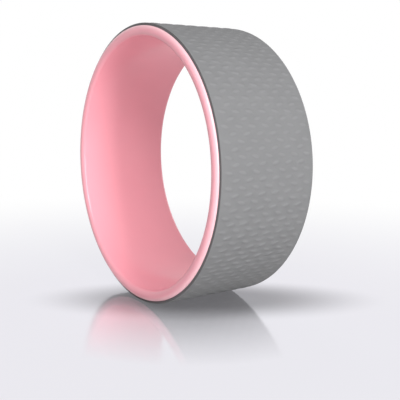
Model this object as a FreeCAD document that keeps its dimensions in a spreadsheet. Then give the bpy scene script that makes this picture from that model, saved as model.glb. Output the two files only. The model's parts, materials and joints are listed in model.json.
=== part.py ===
"""Yoga wheel: a moulded hoop, a foam grip mat wrapped once round it, and the adhesive between them.

Millimetres. The origin is the wheel's centre, Y is its axle line, and it stands on its tread with Z up.
"""
import FreeCAD
import Part
import Sketcher
import os

# Driving dimensions: name in the sheet, size, what it measures
DIMENSIONS = (
    ("wheel_diameter", 330.0, "over the mat"),
    ("wheel_width", 130.0, "between the hoop's two end faces"),
    ("bore_diameter", 300.0, "clear inside the hoop"),
    ("bore_bevel", 2.0, "of the softened corner where the bore meets an end face"),
    ("lip_diameter", 324.0, "over the hoop's two lips"),
    ("lip_width", 4.0, "of one lip, along the axle line"),
    ("lip_round", 3.8, "radius of a lip's outer corner"),
    ("film_thickness", 0.2, "of the adhesive"),
    ("mat_thickness", 5.8, "of the foam strip"),
    ("mat_clearance", 0.2, "between a lip and the mat's edge"),
    ("mat_bevel", 0.6, "of the softened edge along each side of the mat"),
    ("seam_gap", 0.4, "between the butted ends of the mat, at the tread"),
    ("standing_dent", 0.25, "depth of the flat that the wheel's weight presses in the foam"),
)

# Lengths worked out from the sheet
WHEEL_RADIUS = "sizes.wheel_diameter / 2"
BORE_RADIUS = "sizes.bore_diameter / 2"
LIP_RADIUS = "sizes.lip_diameter / 2"
MAT_INNER_RADIUS = "sizes.wheel_diameter / 2 - sizes.mat_thickness"
SEAT_RADIUS = "sizes.wheel_diameter / 2 - sizes.mat_thickness - sizes.film_thickness"
HOOP_END = "sizes.wheel_width / 2"
SEAT_END = "sizes.wheel_width / 2 - sizes.lip_width"
MAT_END = "sizes.wheel_width / 2 - sizes.lip_width - sizes.mat_clearance"
MAT_TURN = "360 - sizes.seam_gap / (sizes.wheel_diameter / 2) * 180 / pi"
DENT_LEVEL = "sizes.wheel_diameter / 2 - sizes.standing_dent"
DENT_TOOL_HALF_LENGTH = "sizes.wheel_diameter / 8"
DENT_TOOL_BOTTOM = "sizes.wheel_diameter / 2 + sizes.mat_thickness"


def make_sheet(doc):
    """Fill the spreadsheet that every feature takes its sizes from."""
    sheet = doc.addObject("Spreadsheet::Sheet", "sizes")
    for row, (alias, size, meaning) in enumerate(DIMENSIONS, start=1):
        sheet.set(f"A{row}", alias)
        sheet.set(f"B{row}", str(size))
        sheet.set(f"C{row}", meaning)
        sheet.setAlias(f"B{row}", alias)
    doc.recompute()
    return sheet


def value(doc, expression):
    """The number that an expression of the sheet comes to."""
    return float(doc.sizes.evalExpression(expression))


def origin_plane(body, role):
    """One of a body's own three origin planes."""
    return next(plane for plane in body.Origin.OriginFeatures if plane.Role == role)


def hold_line(sketch, line, kind, expression, size):
    """Hold a level or upright line at a signed distance from the sketch's origin."""
    origin = (-1, 1)
    start = (line, 1)
    first, second = (origin, start) if size > 0 else (start, origin)
    number = sketch.addConstraint(Sketcher.Constraint(kind, *first, *second, abs(size)))
    name = f"line_{line}"
    sketch.renameConstraint(number, name)
    sketch.setExpression(f"Constraints.{name}", expression if size > 0 else f"-({expression})")


def outline_sketch(body, name, role, corners):
    """Sketch a closed outline of level and upright lines through corners given as expressions."""
    doc = body.Document
    sketch = body.newObject("Sketcher::SketchObject", name)
    sketch.AttachmentSupport = (origin_plane(body, role), [""])
    sketch.MapMode = "FlatFace"
    points = [(value(doc, across), value(doc, along)) for across, along in corners]
    count = len(points)
    for index, start in enumerate(points):
        end = points[(index + 1) % count]
        sketch.addGeometry(Part.LineSegment(FreeCAD.Vector(*start), FreeCAD.Vector(*end)))
    for index in range(count):
        sketch.addConstraint(Sketcher.Constraint("Coincident", index, 2, (index + 1) % count, 1))
    for index, (across, along) in enumerate(corners):
        is_level = corners[(index + 1) % count][1] == along
        sketch.addConstraint(Sketcher.Constraint("Horizontal" if is_level else "Vertical", index))
        if is_level:
            hold_line(sketch, index, "DistanceY", along, points[index][1])
        else:
            hold_line(sketch, index, "DistanceX", across, points[index][0])
    doc.recompute()
    return sketch


def revolve(body, name, sketch, turn=None):
    """Turn a section about the axle line, all the way or through an angle centred on the sketch."""
    solid = body.newObject("PartDesign::Revolution", name)
    solid.Profile = sketch
    solid.ReferenceAxis = (sketch, ["V_Axis"])
    solid.Angle = 360
    if turn is not None:
        solid.Midplane = True
        solid.setExpression("Angle", turn)
    sketch.Visibility = False
    body.Document.recompute()
    return solid


def ring_edges(solid, radius, offset):
    """Names of the edges that run round the axle line at a radius, on both sides of the middle plane."""
    names = []
    for number, edge in enumerate(solid.Shape.Edges, start=1):
        curve = edge.Curve
        if not isinstance(curve, Part.Circle):
            continue
        if abs(curve.Radius - radius) < 1e-6 and abs(abs(curve.Center.y) - offset) < 1e-6:
            names.append(f"Edge{number}")
    return names


def dress_rings(body, name, kind, radius, offset, size):
    """Round or bevel the pair of ring edges at a radius and an offset from the middle plane."""
    doc = body.Document
    base = body.Tip
    edges = ring_edges(base, value(doc, radius), value(doc, offset))
    if len(edges) != 2:
        raise RuntimeError(f"{name}: the two ring edges were not found")
    dressed = body.newObject(f"PartDesign::{kind}", name)
    dressed.Base = (base, edges)
    dressed.setExpression("Radius" if kind == "Fillet" else "Size", size)
    doc.recompute()
    return dressed


def new_body(doc, label):
    """An empty body whose label names the piece."""
    body = doc.addObject("PartDesign::Body", label)
    body.Label = label
    return body


def make_hoop(doc):
    """The plastic hoop: a plain bore, a seat for the mat, and a rounded lip at each end of the seat."""
    body = new_body(doc, "hoop")
    corners = (
        (BORE_RADIUS, f"-({HOOP_END})"),
        (LIP_RADIUS, f"-({HOOP_END})"),
        (LIP_RADIUS, f"-({SEAT_END})"),
        (SEAT_RADIUS, f"-({SEAT_END})"),
        (SEAT_RADIUS, SEAT_END),
        (LIP_RADIUS, SEAT_END),
        (LIP_RADIUS, HOOP_END),
        (BORE_RADIUS, HOOP_END),
    )
    section = outline_sketch(body, "hoop_section", "XY_Plane", corners)
    revolve(body, "hoop_ring", section)
    dress_rings(body, "lip_corners", "Fillet", LIP_RADIUS, HOOP_END, "sizes.lip_round")
    dress_rings(body, "bore_mouths", "Chamfer", BORE_RADIUS, HOOP_END, "sizes.bore_bevel")
    return body


def strip_corners(inner_radius, outer_radius):
    """Section of a layer that lies on the seat, as wide as the mat."""
    return (
        (inner_radius, f"-({MAT_END})"),
        (outer_radius, f"-({MAT_END})"),
        (outer_radius, MAT_END),
        (inner_radius, MAT_END),
    )


def make_adhesive_film(doc):
    """The adhesive that covers the seat under the mat."""
    body = new_body(doc, "adhesive_film")
    section = outline_sketch(body, "film_section", "XY_Plane", strip_corners(SEAT_RADIUS, MAT_INNER_RADIUS))
    revolve(body, "film_ring", section)
    return body


def make_grip_mat(doc):
    """The foam strip, wrapped round from a butt seam at -X, and pressed flat where the wheel stands."""
    body = new_body(doc, "grip_mat")
    section = outline_sketch(body, "mat_section", "XY_Plane", strip_corners(MAT_INNER_RADIUS, WHEEL_RADIUS))
    revolve(body, "mat_strip", section, MAT_TURN)
    bevelled = dress_rings(body, "mat_edges", "Chamfer", WHEEL_RADIUS, MAT_END, "sizes.mat_bevel")
    dent_corners = (
        (f"-({DENT_TOOL_HALF_LENGTH})", f"-({DENT_TOOL_BOTTOM})"),
        (DENT_TOOL_HALF_LENGTH, f"-({DENT_TOOL_BOTTOM})"),
        (DENT_TOOL_HALF_LENGTH, f"-({DENT_LEVEL})"),
        (f"-({DENT_TOOL_HALF_LENGTH})", f"-({DENT_LEVEL})"),
    )
    below_dent = outline_sketch(body, "below_standing_dent", "XZ_Plane", dent_corners)
    dent = body.newObject("PartDesign::Pocket", "standing_flat")
    dent.Profile = below_dent
    dent.Type = "ThroughAll"
    dent.SideType = "Symmetric"
    below_dent.Visibility = False
    doc.recompute()
    if dent.Shape.Volume >= bevelled.Shape.Volume:
        raise RuntimeError("the standing flat cut nothing from the mat")
    return body


def check_document(doc, bodies):
    """Stop if a feature failed, or if a piece isn't one valid solid."""
    for item in doc.Objects:
        if "Invalid" in item.State or "Error" in item.State:
            raise RuntimeError(f"{item.Name} failed: {item.State}")
    for body in bodies:
        shape = body.Shape
        if shape.isNull() or not shape.isValid() or len(shape.Solids) != 1:
            raise RuntimeError(f"{body.Label} isn't one valid solid")


def main():
    doc = FreeCAD.newDocument("yoga_wheel")
    make_sheet(doc)
    bodies = (make_hoop(doc), make_adhesive_film(doc), make_grip_mat(doc))
    doc.recompute()
    check_document(doc, bodies)
    os.makedirs("parts", exist_ok=True)
    for body in bodies:
        body.Shape.exportStep(f"parts/{body.Label}.step")
        print(f"{body.Label}: {body.Shape.Volume / 1000:.1f} cm3")


main()
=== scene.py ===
"""Looks of a yoga wheel: a pink moulded hoop and the embossed grey foam mat that is glued round it.

Metres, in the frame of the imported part: the origin is the wheel's centre, Y its axle line, Z up.
"""
import bmesh
import bpy
import json
import math
from mathutils import Matrix, Vector


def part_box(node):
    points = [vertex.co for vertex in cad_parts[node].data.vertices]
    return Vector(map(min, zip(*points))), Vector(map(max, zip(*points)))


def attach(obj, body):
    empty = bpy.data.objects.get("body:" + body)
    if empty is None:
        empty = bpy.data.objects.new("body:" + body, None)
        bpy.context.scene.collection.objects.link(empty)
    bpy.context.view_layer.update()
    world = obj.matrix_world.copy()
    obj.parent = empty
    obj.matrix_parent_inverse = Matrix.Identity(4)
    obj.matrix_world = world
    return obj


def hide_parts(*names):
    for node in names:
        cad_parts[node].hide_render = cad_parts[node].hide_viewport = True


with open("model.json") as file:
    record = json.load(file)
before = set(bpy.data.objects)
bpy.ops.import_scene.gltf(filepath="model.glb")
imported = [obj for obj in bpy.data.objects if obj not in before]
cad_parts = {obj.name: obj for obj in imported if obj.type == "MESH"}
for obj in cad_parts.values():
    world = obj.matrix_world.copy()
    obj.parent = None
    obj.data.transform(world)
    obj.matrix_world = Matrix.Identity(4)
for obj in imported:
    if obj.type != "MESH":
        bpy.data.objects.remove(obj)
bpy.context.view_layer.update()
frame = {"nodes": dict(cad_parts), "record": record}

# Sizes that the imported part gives
HOOP_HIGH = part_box("hoop")[1]
FILM_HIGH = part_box("adhesive_film")[1]
MAT_LOW, MAT_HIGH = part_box("grip_mat")
BORE = next(mount for mount in frame["record"]["mounts"] if mount["name"] == "bore")
BORE_RADIUS = BORE["dims"]["r_mm"] / 1000
LIP_RADIUS = HOOP_HIGH.x
HOOP_END = HOOP_HIGH.y
MAT_INNER_RADIUS = FILM_HIGH.x
MAT_END = MAT_HIGH.y
TREAD_RADIUS = MAT_HIGH.x
FLOOR_LEVEL = MAT_LOW.z

# Points closer than this are one point, and edges flatter than this are shaded smooth
NEARBY = 1e-5
SMOOTH_ANGLE = math.radians(40)

# The hoop's section: a seat for the mat between two lips, and a crowned rim at each end
LIP_WIDTH = 0.0040
LIP_INNER_ROUND = 0.0004
LIP_INNER_STEPS = 4
FILM_THICKNESS = 0.0002
SEAT_RADIUS = MAT_INNER_RADIUS - FILM_THICKNESS
SEAT_END = HOOP_END - LIP_WIDTH
RIM_MIDDLE = (LIP_RADIUS + BORE_RADIUS) / 2
RIM_HALF = (LIP_RADIUS - BORE_RADIUS) / 2
CROWN_TO_LIP = LIP_WIDTH - LIP_INNER_ROUND
CROWN_TO_BORE = 0.0045
CROWN_STEPS = 28
HOOP_STEPS = 288

# The mat: rows of raised lugs across the strip, leaning one way and then the other
MAT_EDGE_ROUND = 0.0003
MAT_EDGE_STEPS = 4
MAT_TRIM = MAT_END - MAT_EDGE_ROUND
LUG_ROWS = 134
LUGS_ACROSS = 7
LUG_PITCH = 2 * MAT_TRIM / LUGS_ACROSS
LUG_LENGTH = 0.0108
LUG_WIDTH = 0.0042
LUG_HEIGHT = 0.0004
LUG_LEAN = math.radians(13)
LUG_SIDES = 12
GROUND_DEPTH = 0.0001
GROUND_RADIUS = TREAD_RADIUS - GROUND_DEPTH
CREST_RADIUS = GROUND_RADIUS + LUG_HEIGHT
SEAM_GAP = 0.0004
MAT_LENGTH = 2 * math.pi * GROUND_RADIUS - SEAM_GAP
MAT_DEPTH = GROUND_RADIUS - MAT_INNER_RADIUS
ROW_PITCH = MAT_LENGTH / LUG_ROWS

# Rings of a lug from its foot up: share of the foot's outline, share of the height
LUG_RINGS = ((0.80, 0.60), (0.50, 0.94))

# Grain and mottle: noise detail, and the spans of the noise that colour and gloss follow
GRAIN_DETAIL = 3.0
MOTTLE_DETAIL = 4.0
EVEN_MOTTLE = (0.2, 0.8)
PATCHY_MOTTLE = (0.3, 0.7)

# Hoop plastic: its grain gives the scales of grain and mottle, its bump a strength and a depth
HOOP_DARKER = (0.92, 0.380, 0.448)
HOOP_LIGHTER = (0.94, 0.400, 0.468)
# Painted highlight: the lip colour and its depth make the lips' outer crowns paler, in place of light on
# them
LIP_HIGHLIGHT_COLOUR = (0.93, 0.55, 0.60)
LIP_HIGHLIGHT_DEPTH = 0.005
LIP_HIGHLIGHT_START = LIP_RADIUS - LIP_HIGHLIGHT_DEPTH
HOOP_GRAIN = (900.0, 14.0)
HOOP_BUMP = (0.05, 0.0002)
HOOP_ROUGHNESS = (0.21, 0.27)
HOOP_IOR = 1.52

# Mat foam, the same way
MAT_DARKER = (0.184, 0.185, 0.189)
MAT_LIGHTER = (0.200, 0.201, 0.205)
# Painted highlight: the lugs' crests are lighter, as where light catches them
CREST_HIGHLIGHT_COLOUR = (0.213, 0.214, 0.218)
# Painted shade: the mat's cut sides are darker, as the shaded gap beside the lips
CUT_SHADE_COLOUR = (0.128, 0.126, 0.129)
CUT_SHADE_START = MAT_TRIM
CUT_SHADE_END = MAT_END - MAT_EDGE_ROUND / 4
MAT_GRAIN = (1500.0, 45.0)
MAT_BUMP = (0.35, 0.0004)
MAT_ROUGHNESS = 0.82
MAT_SPECULAR = 0.3

# Adhesive, the same way
ADHESIVE_DARKER = (0.50, 0.38, 0.20)
ADHESIVE_LIGHTER = (0.66, 0.55, 0.34)
ADHESIVE_GRAIN = (700.0, 220.0)
ADHESIVE_BUMP = (0.3, 0.0002)
ADHESIVE_ROUGHNESS = (0.35, 0.6)

# Floor: pale round the wheel and white further off, as the camera sees it, and plain grey to the lamps
WHITE = (1.0, 1.0, 1.0)
BLACK = (0.0, 0.0, 0.0)
FLOOR_SIZE = 12.0
FLOOR_BASE = (0.7, 0.7, 0.7)
FLOOR_ROUGHNESS = 0.6
FLOOR_SHADE = (0.842, 0.834, 0.886)
FLOOR_SHADE_CENTRE = (0.25, -0.16, FLOOR_LEVEL)
FLOOR_SHADE_START = 0.25
FLOOR_SHADE_END = 1.15
FLOOR_SEEN_SHARE = 0.9

# Soft shade at the wheel's foot: an oval, dark out to its start
CONTACT_CENTRE = (0.0415, 0.008, FLOOR_LEVEL)
CONTACT_HEADING = math.radians(58.7)
CONTACT_SIZE = (0.225, 0.085, 1.0)
CONTACT_START = 0.3
CONTACT_DARKEST = 0.43

# Clear film on the floor that mirrors the wheel
POLISH_START = 0.10
POLISH_END = 0.23
POLISH_MOST = 0.6
POLISH_DEPTH = 0.0003
POLISH_ROUGHNESS = 0.12
POLISH_SIDES = 64

# Softboxes: name, heading round from -Y and rise from level in degrees, width and height, watts
SOFTBOXES = (
    ("right_strip", 82.6, 9, (0.42, 1.08), 32.0),
    ("right_box", 70, 35, (0.82, 0.82), 20.0),
    ("near_box", 50, 35, (0.82, 0.82), 17.0),
    ("back_box", 182, 20, (1.2, 1.2), 17.0),
    ("far_box", 258, 18, (0.9, 0.9), 22.0),
)
SOFTBOX_DISTANCE = 2.4
UNMIRRORED_SOFTBOX = "far_box"
ROOM_LIGHT = 0.2

# Camera: its place, and the direction from what it looks at back to it
CAMERA_PLACE = Vector((0.65634, -0.42985, 0.07473))
CAMERA_BACK = Vector((0.85053, -0.51765, 0.09296))
CAMERA_LENS = 57.11
CAMERA_SHIFT = 0.1
CAMERA_CLIP = 0.01
SENSOR_WIDTH = 36.0

# Sockets of the mix node that take and give colours
MIX_FIRST_COLOUR = 6
MIX_SECOND_COLOUR = 7
MIX_COLOUR_RESULT = 2

SELECT_TYPES = {"verts": "VERT", "edges": "EDGE", "faces": "FACE"}


def start_piece(name):
    """Name the primitive that was just added and put its place and size in its mesh."""
    piece = bpy.context.active_object
    piece.name = name
    piece.data.name = name
    bpy.ops.object.transform_apply(location=True, rotation=True, scale=True)
    return piece


def select(piece, kind, test):
    """In edit mode, select only the verts, edges or faces that pass the test."""
    bpy.ops.mesh.select_mode(type=SELECT_TYPES[kind])
    bpy.ops.mesh.select_all(action="DESELECT")
    shape = bmesh.from_edit_mesh(piece.data)
    for item in getattr(shape, kind):
        if test(item):
            item.select_set(True)
    shape.select_flush_mode()
    bmesh.update_edit_mesh(piece.data)


def middle(edge):
    """Middle point of an edge."""
    return (edge.verts[0].co + edge.verts[1].co) / 2


def close_shape():
    """In edit mode, merge doubles and turn all faces outwards."""
    bpy.ops.mesh.select_mode(type="VERT")
    bpy.ops.mesh.select_all(action="SELECT")
    bpy.ops.mesh.remove_doubles(threshold=NEARBY)
    bpy.ops.mesh.normals_make_consistent(inside=False)


def draw_line(start, end):
    """In edit mode, draw a section on from its selected point, straight to another."""
    step = (end[0] - start[0], end[1] - start[1], 0)
    bpy.ops.mesh.extrude_region_move(TRANSFORM_OT_translate={"value": step})


def draw_round(centre, turn, steps):
    """In edit mode, draw a section on from its selected point, round a centre and against the clock."""
    bpy.ops.mesh.spin(steps=steps, angle=-turn, center=(*centre, 0), axis=(0, 0, 1))


def draw_crown(hoop):
    """Draw a half circle from the lip over to the bore, flatten it, and let the bore's half fall further."""
    level = HOOP_END - CROWN_TO_LIP
    draw_round((RIM_MIDDLE, level), math.pi, CROWN_STEPS)
    select(hoop, "verts", lambda vert: vert.co.y > level + NEARBY)
    bpy.ops.transform.resize(value=(1, CROWN_TO_LIP / RIM_HALF, 1), center_override=(0, level, 0))
    select(hoop, "verts", lambda vert: vert.co.x < RIM_MIDDLE and vert.co.y > level - NEARBY)
    bpy.ops.transform.resize(value=(1, CROWN_TO_BORE / CROWN_TO_LIP, 1), center_override=(0, HOOP_END, 0))
    select(hoop, "verts", lambda vert: vert.co.x < BORE_RADIUS + NEARBY)


def draw_half_section(hoop):
    """Draw the section from the middle of the seat, over the lip and the rim, to the middle of the bore."""
    seat_corner = (SEAT_RADIUS, SEAT_END)
    lip_corner = (LIP_RADIUS - LIP_INNER_ROUND, SEAT_END)
    draw_line((SEAT_RADIUS, 0), seat_corner)
    draw_line(seat_corner, lip_corner)
    draw_round((lip_corner[0], SEAT_END + LIP_INNER_ROUND), math.pi / 2, LIP_INNER_STEPS)
    draw_crown(hoop)
    draw_line((BORE_RADIUS, HOOP_END - CROWN_TO_BORE), (BORE_RADIUS, 0))


def turn_hoop():
    """The hoop: half its section is drawn at +X from one point, mirrored, and spun about the axle line."""
    bpy.ops.object.select_all(action="DESELECT")
    bpy.ops.mesh.primitive_plane_add(size=LIP_WIDTH, location=(SEAT_RADIUS, 0, 0))
    hoop = start_piece("moulded_hoop")
    bpy.ops.object.mode_set(mode="EDIT")
    bpy.ops.mesh.merge(type="CENTER")
    draw_half_section(hoop)
    bpy.ops.mesh.select_all(action="SELECT")
    bpy.ops.mesh.duplicate()
    bpy.ops.transform.resize(value=(1, -1, 1), center_override=(0, 0, 0))
    bpy.ops.mesh.select_all(action="SELECT")
    bpy.ops.mesh.spin(steps=HOOP_STEPS, angle=2 * math.pi, center=(0, 0, 0), axis=(0, 1, 0))
    close_shape()
    bpy.ops.object.mode_set(mode="OBJECT")
    bpy.ops.object.shade_smooth_by_angle(angle=SMOOTH_ANGLE)
    return hoop


def is_on_cell_border(point):
    """Whether a point lies on the border of the mat's first cell."""
    is_at_end = abs(abs(point.x) - ROW_PITCH / 2) < NEARBY
    is_at_side = abs(abs(point.y) - LUG_PITCH / 2) < NEARBY
    return is_at_end or is_at_side


def draw_lug_outline(mat):
    """In edit mode, open the middle of the cell and join its border to a leaning oval."""
    select(mat, "verts", lambda vert: not is_on_cell_border(vert.co))
    bpy.ops.mesh.delete(type="VERT")
    bpy.ops.mesh.primitive_circle_add(vertices=LUG_SIDES, radius=0.5, fill_type="NOTHING")
    bpy.ops.transform.resize(value=(LUG_WIDTH, LUG_LENGTH, 1), center_override=(0, 0, 0))
    bpy.ops.transform.rotate(value=LUG_LEAN, orient_axis="Z", center_override=(0, 0, 0))
    bpy.ops.mesh.select_mode(type="EDGE")
    bpy.ops.mesh.select_all(action="SELECT")
    bpy.ops.mesh.bridge_edge_loops()


def raise_lug(mat):
    """In edit mode, raise the oval ring by ring to the lug's crest and close it."""
    select(mat, "edges", lambda edge: edge.is_boundary and not is_on_cell_border(middle(edge)))
    last_share, last_rise = 1.0, 0.0
    for share, rise in LUG_RINGS:
        lift = (rise - last_rise) * LUG_HEIGHT
        shrink = share / last_share
        bpy.ops.mesh.extrude_region_move(TRANSFORM_OT_translate={"value": (0, 0, lift)})
        bpy.ops.transform.resize(value=(shrink, shrink, 1), center_override=(0, 0, 0))
        last_share, last_rise = share, rise
    bpy.ops.mesh.edge_face_add()


def emboss_cell():
    """One cell of the mat's tread, flat, with X along the strip and a leaning lug in the middle."""
    bpy.ops.object.select_all(action="DESELECT")
    bpy.ops.mesh.primitive_grid_add(x_subdivisions=2, y_subdivisions=4, size=1)
    bpy.ops.transform.resize(value=(ROW_PITCH, LUG_PITCH, 1))
    mat = start_piece("embossed_mat")
    bpy.ops.object.mode_set(mode="EDIT")
    draw_lug_outline(mat)
    raise_lug(mat)
    bpy.ops.object.mode_set(mode="OBJECT")
    return mat


def repeat(piece, count, step):
    """Copy the whole piece in a row, with the copies' borders merged."""
    row = piece.modifiers.new("row", "ARRAY")
    row.count = count
    row.use_relative_offset = False
    row.use_constant_offset = True
    row.constant_offset_displace = step
    row.use_merge_vertices = True
    row.merge_threshold = NEARBY
    bpy.ops.object.modifier_apply(modifier=row.name)


def move_last_cell_round(mat, second_row):
    """Press the second row's last lug flat, and move the outer half of its cell to the row's other end."""
    last_cell = MAT_TRIM - LUG_PITCH / 2

    def is_in_last_cell(vert):
        return vert.co.x > second_row - NEARBY and vert.co.y > last_cell - NEARBY

    select(mat, "verts", is_in_last_cell)
    bpy.ops.transform.resize(value=(1, 1, 0), center_override=(0, 0, 0))
    bpy.ops.mesh.bisect(plane_co=(0, MAT_TRIM, 0), plane_no=(0, 1, 0))
    select(mat, "faces", lambda face: face.calc_center_median().y > MAT_TRIM)
    bpy.ops.mesh.split()
    bpy.ops.transform.translate(value=(0, -2 * MAT_TRIM, 0))


def lay_out_strip(mat):
    """Repeat the cell to a flat strip whose rows shift by half a lug and lean one way and then the other."""
    repeat(mat, LUGS_ACROSS, (0, LUG_PITCH, 0))
    first_lug = (1 - LUGS_ACROSS) / 2 * LUG_PITCH
    first_row = (ROW_PITCH - MAT_LENGTH) / 2
    bpy.ops.object.mode_set(mode="EDIT")
    bpy.ops.mesh.select_mode(type="VERT")
    bpy.ops.mesh.select_all(action="SELECT")
    bpy.ops.transform.translate(value=(first_row, first_lug, 0))
    bpy.ops.mesh.duplicate()
    bpy.ops.transform.resize(value=(-1, 1, 1), center_override=(first_row, 0, 0))
    bpy.ops.transform.translate(value=(ROW_PITCH, LUG_PITCH / 2, 0))
    move_last_cell_round(mat, first_row + ROW_PITCH / 2)
    bpy.ops.object.mode_set(mode="OBJECT")
    repeat(mat, LUG_ROWS // 2, (2 * ROW_PITCH, 0, 0))


def give_strip_depth(mat):
    """Round the strip over its two long edges, take the sides down, and close the back and the ends."""
    bpy.ops.object.mode_set(mode="EDIT")
    close_shape()
    select(mat, "edges", lambda edge: edge.is_boundary and abs(abs(middle(edge).y) - MAT_TRIM) < NEARBY)
    last_out, last_down = MAT_TRIM, 0.0
    for step in range(1, MAT_EDGE_STEPS + 1):
        turn = step / MAT_EDGE_STEPS * math.pi / 2
        out = MAT_TRIM + MAT_EDGE_ROUND * math.sin(turn)
        down = MAT_EDGE_ROUND * (1 - math.cos(turn))
        bpy.ops.mesh.extrude_region_move(TRANSFORM_OT_translate={"value": (0, 0, last_down - down)})
        bpy.ops.transform.resize(value=(1, out / last_out, 1), center_override=(0, 0, 0))
        last_out, last_down = out, down
    bpy.ops.mesh.extrude_region_move(TRANSFORM_OT_translate={"value": (0, 0, last_down - MAT_DEPTH)})
    bpy.ops.mesh.bridge_edge_loops()
    for end in (-1, 1):
        select(mat, "edges", lambda edge: edge.is_boundary and middle(edge).x * end > 0)
        bpy.ops.mesh.edge_face_add()
    close_shape()
    bpy.ops.object.mode_set(mode="OBJECT")


def wrap_strip(mat):
    """Bend the strip to a ring, its ends butted at -X, and press it flat where the wheel stands."""
    quarter_turn = Matrix.Rotation(math.pi / 2, 4, "Y")
    mat.matrix_world = quarter_turn
    bpy.ops.object.transform_apply(location=True, rotation=True, scale=True)
    bend = mat.modifiers.new("bend", "SIMPLE_DEFORM")
    bend.deform_method = "BEND"
    bend.deform_axis = "Y"
    bend.angle = -MAT_LENGTH / GROUND_RADIUS
    bpy.ops.object.modifier_apply(modifier=bend.name)
    bpy.ops.object.mode_set(mode="EDIT")
    bpy.ops.mesh.select_all(action="SELECT")
    bpy.ops.transform.translate(value=(GROUND_RADIUS, 0, 0))
    select(mat, "verts", lambda vert: vert.co.z < FLOOR_LEVEL)
    bpy.ops.transform.resize(value=(1, 1, 0), center_override=(0, 0, FLOOR_LEVEL))
    bpy.ops.object.mode_set(mode="OBJECT")
    bpy.ops.object.shade_smooth_by_angle(angle=SMOOTH_ANGLE)


def wrap_mat():
    """The foam mat, from one embossed cell to the closed strip round the hoop."""
    mat = emboss_cell()
    lay_out_strip(mat)
    give_strip_depth(mat)
    wrap_strip(mat)
    return mat


def add_node(tree, kind, place, **settings):
    """A shader node of a kind, with its own settings."""
    node = tree.nodes.new(kind)
    node.location = place
    for name, setting in settings.items():
        setattr(node, name, setting)
    return node


def ramp(tree, place, low, high, start=0.0, end=1.0):
    """A colour ramp between two colours."""
    node = add_node(tree, "ShaderNodeValToRGB", place)
    node.color_ramp.elements[0].position = start
    node.color_ramp.elements[0].color = (*low, 1)
    node.color_ramp.elements[1].position = end
    node.color_ramp.elements[1].color = (*high, 1)
    return node


def map_range(tree, place, from_low, from_high, to_low, to_high):
    """A node that maps one range of numbers to another."""
    node = add_node(tree, "ShaderNodeMapRange", place)
    node.inputs["From Min"].default_value = from_low
    node.inputs["From Max"].default_value = from_high
    node.inputs["To Min"].default_value = to_low
    node.inputs["To Max"].default_value = to_high
    return node


def make_grain_group():
    """Fine grain for bumps and a broad mottle for colour, both in object coordinates."""
    group = bpy.data.node_groups.new("grain_and_mottle", "ShaderNodeTree")
    for name in ("Grain Scale", "Mottle Scale"):
        group.interface.new_socket(name, in_out="INPUT", socket_type="NodeSocketFloat")
    for name in ("Grain", "Mottle"):
        group.interface.new_socket(name, in_out="OUTPUT", socket_type="NodeSocketFloat")
    inputs = add_node(group, "NodeGroupInput", (-600, 0))
    outputs = add_node(group, "NodeGroupOutput", (400, 0))
    place = add_node(group, "ShaderNodeTexCoord", (-600, 200))
    grain = add_node(group, "ShaderNodeTexNoise", (-200, 150))
    grain.inputs["Detail"].default_value = GRAIN_DETAIL
    mottle = add_node(group, "ShaderNodeTexNoise", (-200, -150))
    mottle.inputs["Detail"].default_value = MOTTLE_DETAIL
    for noise, name in ((grain, "Grain"), (mottle, "Mottle")):
        group.links.new(place.outputs["Object"], noise.inputs["Vector"])
        group.links.new(inputs.outputs[f"{name} Scale"], noise.inputs["Scale"])
        group.links.new(noise.outputs["Fac"], outputs.inputs[name])
    return group


def make_rise_group():
    """From 0 at one distance from the axle line to 1 at another, in object coordinates."""
    group = bpy.data.node_groups.new("rise_from_axle", "ShaderNodeTree")
    for name in ("Low", "High"):
        group.interface.new_socket(name, in_out="INPUT", socket_type="NodeSocketFloat")
    group.interface.new_socket("Rise", in_out="OUTPUT", socket_type="NodeSocketFloat")
    inputs = add_node(group, "NodeGroupInput", (-600, -200))
    outputs = add_node(group, "NodeGroupOutput", (400, 0))
    place = add_node(group, "ShaderNodeTexCoord", (-600, 200))
    across = add_node(group, "ShaderNodeVectorMath", (-400, 200), operation="MULTIPLY")
    across.inputs[1].default_value = (1, 0, 1)
    group.links.new(place.outputs["Object"], across.inputs[0])
    radius = add_node(group, "ShaderNodeVectorMath", (-200, 200), operation="LENGTH")
    group.links.new(across.outputs["Vector"], radius.inputs[0])
    rise = map_range(group, (0, 0), 0.0, 1.0, 0.0, 1.0)
    group.links.new(radius.outputs["Value"], rise.inputs["Value"])
    group.links.new(inputs.outputs["Low"], rise.inputs["From Min"])
    group.links.new(inputs.outputs["High"], rise.inputs["From Max"])
    group.links.new(rise.outputs["Result"], outputs.inputs["Rise"])
    return group


def start_material(name):
    """A node material with its Principled shader."""
    material = bpy.data.materials.new(name)
    material.use_nodes = True
    shader = material.node_tree.nodes["Principled BSDF"]
    return material, material.node_tree, shader


def add_grain(tree, group, scales):
    """Place the grain group in a material."""
    node = add_node(tree, "ShaderNodeGroup", (-900, 0))
    node.node_tree = group
    node.inputs["Grain Scale"].default_value, node.inputs["Mottle Scale"].default_value = scales
    return node


def add_mottle_gloss(tree, mottle, shader, roughness):
    """Let the roughness follow the mottle between two values."""
    gloss = map_range(tree, (-500, -50), *PATCHY_MOTTLE, *roughness)
    tree.links.new(mottle, gloss.inputs["Value"])
    tree.links.new(gloss.outputs["Result"], shader.inputs["Roughness"])


def add_bump(tree, height, shader, bump_size):
    """Feed a height to the shader's normal."""
    bump = add_node(tree, "ShaderNodeBump", (-300, -300))
    bump.inputs["Strength"].default_value, bump.inputs["Distance"].default_value = bump_size
    tree.links.new(height, bump.inputs["Height"])
    tree.links.new(bump.outputs["Normal"], shader.inputs["Normal"])


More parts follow.
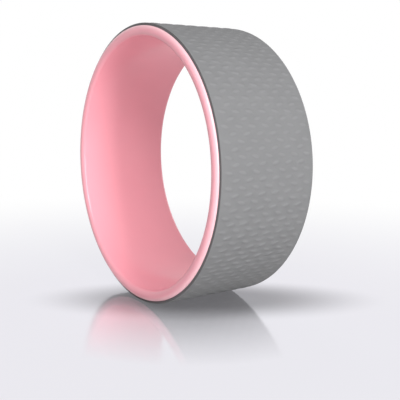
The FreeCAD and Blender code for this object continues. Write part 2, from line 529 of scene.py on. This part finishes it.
def blend_to(tree, place, factor, ground, colour):
    """Mix a ground colour to a plain one by a factor."""
    mix = add_node(tree, "ShaderNodeMix", place, data_type="RGBA")
    tree.links.new(factor, mix.inputs["Factor"])
    tree.links.new(ground, mix.inputs[MIX_FIRST_COLOUR])
    mix.inputs[MIX_SECOND_COLOUR].default_value = (*colour, 1)
    return mix.outputs[MIX_COLOUR_RESULT]


def paint_highlight_by_radius(tree, group, ground, colour, low, high):
    """Mix a ground colour to a paler one between two distances from the axle line, as a painted highlight.
    """
    rise = add_node(tree, "ShaderNodeGroup", (-500, 500))
    rise.node_tree = group
    rise.inputs["Low"].default_value = low
    rise.inputs["High"].default_value = high
    return blend_to(tree, (-200, 300), rise.outputs["Rise"], ground, colour)


def make_hoop_plastic(grain_group, rise_group):
    """Pink moulded plastic with a satin gloss, and a painted highlight that makes the lips' crowns paler."""
    material, tree, shader = start_material("pink_hoop_plastic")
    grain = add_grain(tree, grain_group, HOOP_GRAIN)
    colour = ramp(tree, (-500, 200), HOOP_DARKER, HOOP_LIGHTER, *EVEN_MOTTLE)
    tree.links.new(grain.outputs["Mottle"], colour.inputs["Fac"])
    # Painted highlight on the lips' crowns
    highlighted = paint_highlight_by_radius(tree, rise_group, colour.outputs["Color"], LIP_HIGHLIGHT_COLOUR, LIP_HIGHLIGHT_START, LIP_RADIUS)
    tree.links.new(highlighted, shader.inputs["Base Color"])
    add_mottle_gloss(tree, grain.outputs["Mottle"], shader, HOOP_ROUGHNESS)
    shader.inputs["IOR"].default_value = HOOP_IOR
    add_bump(tree, grain.outputs["Grain"], shader, HOOP_BUMP)
    return material


def find_shaded_cut_sides(tree):
    """From 0 on the mat's tread to 1 on its two cut sides, by the distance from the middle plane: where
    painted shade goes.
    """
    place = add_node(tree, "ShaderNodeTexCoord", (-1100, 800))
    axes = add_node(tree, "ShaderNodeSeparateXYZ", (-900, 800))
    tree.links.new(place.outputs["Object"], axes.inputs["Vector"])
    offset = add_node(tree, "ShaderNodeMath", (-700, 800), operation="ABSOLUTE")
    tree.links.new(axes.outputs["Y"], offset.inputs[0])
    side = map_range(tree, (-500, 800), CUT_SHADE_START, CUT_SHADE_END, 0.0, 1.0)
    tree.links.new(offset.outputs["Value"], side.inputs["Value"])
    return side.outputs["Result"]


def make_mat_foam(grain_group, rise_group):
    """Matt grey foam, with a painted highlight on the lugs' crests and painted shade on its cut sides."""
    material, tree, shader = start_material("grey_mat_foam")
    grain = add_grain(tree, grain_group, MAT_GRAIN)
    ground = ramp(tree, (-600, 200), MAT_DARKER, MAT_LIGHTER, *EVEN_MOTTLE)
    tree.links.new(grain.outputs["Mottle"], ground.inputs["Fac"])
    # Painted highlight on the lugs' crests
    highlighted = paint_highlight_by_radius(tree, rise_group, ground.outputs["Color"], CREST_HIGHLIGHT_COLOUR, GROUND_RADIUS, CREST_RADIUS)
    # Painted shade on the mat's cut sides
    cut = blend_to(tree, (-50, 300), find_shaded_cut_sides(tree), highlighted, CUT_SHADE_COLOUR)
    tree.links.new(cut, shader.inputs["Base Color"])
    shader.inputs["Roughness"].default_value = MAT_ROUGHNESS
    shader.inputs["Specular IOR Level"].default_value = MAT_SPECULAR
    add_bump(tree, grain.outputs["Grain"], shader, MAT_BUMP)
    return material


def make_adhesive(grain_group):
    """Dried amber adhesive, unevenly spread."""
    material, tree, shader = start_material("amber_adhesive")
    grain = add_grain(tree, grain_group, ADHESIVE_GRAIN)
    colour = ramp(tree, (-500, 200), ADHESIVE_DARKER, ADHESIVE_LIGHTER, *PATCHY_MOTTLE)
    tree.links.new(grain.outputs["Mottle"], colour.inputs["Fac"])
    tree.links.new(colour.outputs["Color"], shader.inputs["Base Color"])
    add_mottle_gloss(tree, grain.outputs["Mottle"], shader, ADHESIVE_ROUGHNESS)
    add_bump(tree, grain.outputs["Grain"], shader, ADHESIVE_BUMP)
    return material


def dress(piece, material):
    """Give a piece its material."""
    piece.data.materials.clear()
    piece.data.materials.append(material)


def see_ray(tree, place):
    """1 for a ray that the camera, a reflection or a clear piece looks along, and 0 for one that lights."""
    path = add_node(tree, "ShaderNodeLightPath", place)
    glossy = add_node(tree, "ShaderNodeMath", (place[0] + 200, place[1]), operation="MAXIMUM")
    clear = add_node(tree, "ShaderNodeMath", (place[0] + 400, place[1]), operation="MAXIMUM")
    tree.links.new(path.outputs["Is Camera Ray"], glossy.inputs[0])
    tree.links.new(path.outputs["Is Glossy Ray"], glossy.inputs[1])
    tree.links.new(glossy.outputs["Value"], clear.inputs[0])
    tree.links.new(path.outputs["Is Transmission Ray"], clear.inputs[1])
    return clear.outputs["Value"]


def floor_distance(tree, place, centre):
    """How far a point of the floor is from a centre."""
    point = add_node(tree, "ShaderNodeTexCoord", place)
    distance = add_node(tree, "ShaderNodeVectorMath", (place[0] + 200, place[1]), operation="DISTANCE")
    distance.inputs[1].default_value = centre
    tree.links.new(point.outputs["Object"], distance.inputs[0])
    return distance.outputs["Value"]


def contact_shade(tree, place):
    """From dark under the wheel's foot to 1 past the edge of an oval of soft shade."""
    point = add_node(tree, "ShaderNodeTexCoord", place)
    oval = add_node(tree, "ShaderNodeMapping", (place[0] + 200, place[1]), vector_type="TEXTURE")
    oval.inputs["Location"].default_value = CONTACT_CENTRE
    oval.inputs["Rotation"].default_value = (0, 0, CONTACT_HEADING)
    oval.inputs["Scale"].default_value = CONTACT_SIZE
    tree.links.new(point.outputs["Object"], oval.inputs["Vector"])
    reach = add_node(tree, "ShaderNodeVectorMath", (place[0] + 400, place[1]), operation="LENGTH")
    tree.links.new(oval.outputs["Vector"], reach.inputs[0])
    light = map_range(tree, (place[0] + 600, place[1]), CONTACT_START, 1.0, CONTACT_DARKEST, 1.0)
    light.interpolation_type = "SMOOTHSTEP"
    tree.links.new(reach.outputs["Value"], light.inputs["Value"])
    return light.outputs["Result"]


def finish_with_mix(tree, share, first, second):
    """End a material in a mix of two shaders."""
    mix = add_node(tree, "ShaderNodeMixShader", (500, 200))
    tree.links.new(share, mix.inputs["Fac"])
    tree.links.new(first, mix.inputs[1])
    tree.links.new(second, mix.inputs[2])
    tree.links.new(mix.outputs["Shader"], tree.nodes["Material Output"].inputs["Surface"])


def make_floor_finish():
    """Matt to the lamps, and pale to the camera, fading to white, with shade at the wheel's foot."""
    material, tree, shader = start_material("pale_floor_finish")
    shader.inputs["Base Color"].default_value = (*FLOOR_BASE, 1)
    shader.inputs["Roughness"].default_value = FLOOR_ROUGHNESS
    far = map_range(tree, (-900, 300), FLOOR_SHADE_START, FLOOR_SHADE_END, 0.0, 1.0)
    far.interpolation_type = "SMOOTHSTEP"
    tree.links.new(floor_distance(tree, (-1300, 300), FLOOR_SHADE_CENTRE), far.inputs["Value"])
    shade = ramp(tree, (-400, 300), FLOOR_SHADE, WHITE)
    tree.links.new(far.outputs["Result"], shade.inputs["Fac"])
    seen = add_node(tree, "ShaderNodeEmission", (-100, 300))
    tree.links.new(shade.outputs["Color"], seen.inputs["Color"])
    tree.links.new(contact_shade(tree, (-1300, 0)), seen.inputs["Strength"])
    seen_share = map_range(tree, (-300, 900), 0.0, 1.0, FLOOR_SEEN_SHARE, 1.0)
    tree.links.new(far.outputs["Result"], seen_share.inputs["Value"])
    share = add_node(tree, "ShaderNodeMath", (-100, 600), operation="MULTIPLY")
    tree.links.new(see_ray(tree, (-900, 700)), share.inputs[0])
    tree.links.new(seen_share.outputs["Result"], share.inputs[1])
    finish_with_mix(tree, share.outputs["Value"], shader.outputs["BSDF"], seen.outputs["Emission"])
    return material


def lay_floor():
    """The floor, just below the film that lies on it."""
    bpy.ops.object.select_all(action="DESELECT")
    bpy.ops.mesh.primitive_plane_add(size=FLOOR_SIZE, location=(0, 0, FLOOR_LEVEL - POLISH_DEPTH))
    floor = start_piece("pale_floor")
    floor.data.materials.append(make_floor_finish())


def make_polish_finish():
    """A clear finish with a mirror in it that fades out away from the wheel's foot."""
    material, tree, shader = start_material("floor_polish_finish")
    tree.nodes.remove(shader)
    clear = add_node(tree, "ShaderNodeBsdfTransparent", (200, 300))
    mirror = add_node(tree, "ShaderNodeBsdfGlossy", (200, -300))
    mirror.inputs["Roughness"].default_value = POLISH_ROUGHNESS
    shade = ramp(tree, (-100, -200), BLACK, FLOOR_SHADE)
    tree.links.new(contact_shade(tree, (-1300, 0)), shade.inputs["Fac"])
    tree.links.new(shade.outputs["Color"], mirror.inputs["Color"])
    polish = map_range(tree, (-100, -500), POLISH_START, POLISH_END, POLISH_MOST, 0.0)
    tree.links.new(floor_distance(tree, (-500, -500), (0, 0, FLOOR_LEVEL)), polish.inputs["Value"])
    finish_with_mix(tree, polish.outputs["Result"], clear.outputs["BSDF"], mirror.outputs["BSDF"])
    return material


def lay_polish():
    """The clear film round the wheel's foot, which casts no shadow and stops no bounced light."""
    bpy.ops.object.select_all(action="DESELECT")
    bpy.ops.mesh.primitive_circle_add(
        vertices=POLISH_SIDES, radius=POLISH_END, fill_type="NGON", location=(0, 0, FLOOR_LEVEL)
    )
    film = start_piece("floor_polish")
    film.data.materials.append(make_polish_finish())
    film.visible_diffuse = False
    film.visible_shadow = False
    return film


def set_world():
    """Soft light from all round, seen as plain white."""
    world = bpy.data.worlds.new("white_studio")
    bpy.context.scene.world = world
    world.use_nodes = True
    tree = world.node_tree
    tree.nodes.clear()
    level = map_range(tree, (-300, 200), 0.0, 1.0, ROOM_LIGHT, 1.0)
    tree.links.new(see_ray(tree, (-900, 200)), level.inputs["Value"])
    background = add_node(tree, "ShaderNodeBackground", (0, 0))
    background.inputs["Color"].default_value = (*WHITE, 1)
    tree.links.new(level.outputs["Result"], background.inputs["Strength"])
    output = add_node(tree, "ShaderNodeOutputWorld", (300, 0))
    tree.links.new(background.outputs["Background"], output.inputs["Surface"])


def hang_softbox(unlit, name, heading, rise, size, power):
    """A rectangular soft light that faces the wheel, by its angles round from -Y and up from level."""
    around, up = math.radians(heading), math.radians(rise)
    level = math.cos(up)
    direction = Vector((math.sin(around) * level, -math.cos(around) * level, math.sin(up)))
    lamp = bpy.data.lights.new(name, "AREA")
    lamp.shape = "RECTANGLE"
    lamp.size, lamp.size_y = size
    lamp.energy = power
    softbox = bpy.data.objects.new(name, lamp)
    softbox.location = SOFTBOX_DISTANCE * direction
    softbox.rotation_euler = direction.to_track_quat("Z", "Y").to_euler()
    softbox.light_linking.receiver_collection = unlit
    softbox.visible_glossy = name != UNMIRRORED_SOFTBOX
    bpy.context.scene.collection.objects.link(softbox)


def light_studio(polish):
    """Softboxes on the right and behind the wheel, none of which the polished film mirrors."""
    set_world()
    unlit = bpy.data.collections.new("unlit_polish")
    unlit.objects.link(polish)
    unlit.collection_objects[0].light_linking.link_state = "EXCLUDE"
    for softbox in SOFTBOXES:
        hang_softbox(unlit, *softbox)


def place_camera():
    """A camera at the photograph's place."""
    lens = bpy.data.cameras.new("camera")
    lens.sensor_width = SENSOR_WIDTH
    lens.lens = CAMERA_LENS
    lens.shift_x = CAMERA_SHIFT
    lens.shift_y = -CAMERA_SHIFT
    lens.clip_start = CAMERA_CLIP
    camera = bpy.data.objects.new("camera", lens)
    camera.location = CAMERA_PLACE
    camera.rotation_euler = CAMERA_BACK.to_track_quat("Z", "Y").to_euler()
    bpy.context.scene.collection.objects.link(camera)
    bpy.context.scene.camera = camera


def main():
    grain = make_grain_group()
    rise = make_rise_group()
    hoop = turn_hoop()
    dress(hoop, make_hoop_plastic(grain, rise))
    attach(hoop, "root")
    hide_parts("hoop")
    mat = wrap_mat()
    dress(mat, make_mat_foam(grain, rise))
    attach(mat, "root")
    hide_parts("grip_mat")
    dress(frame["nodes"]["adhesive_film"], make_adhesive(grain))
    lay_floor()
    light_studio(lay_polish())
    place_camera()
    bpy.context.scene.view_settings.view_transform = "Standard"


main()
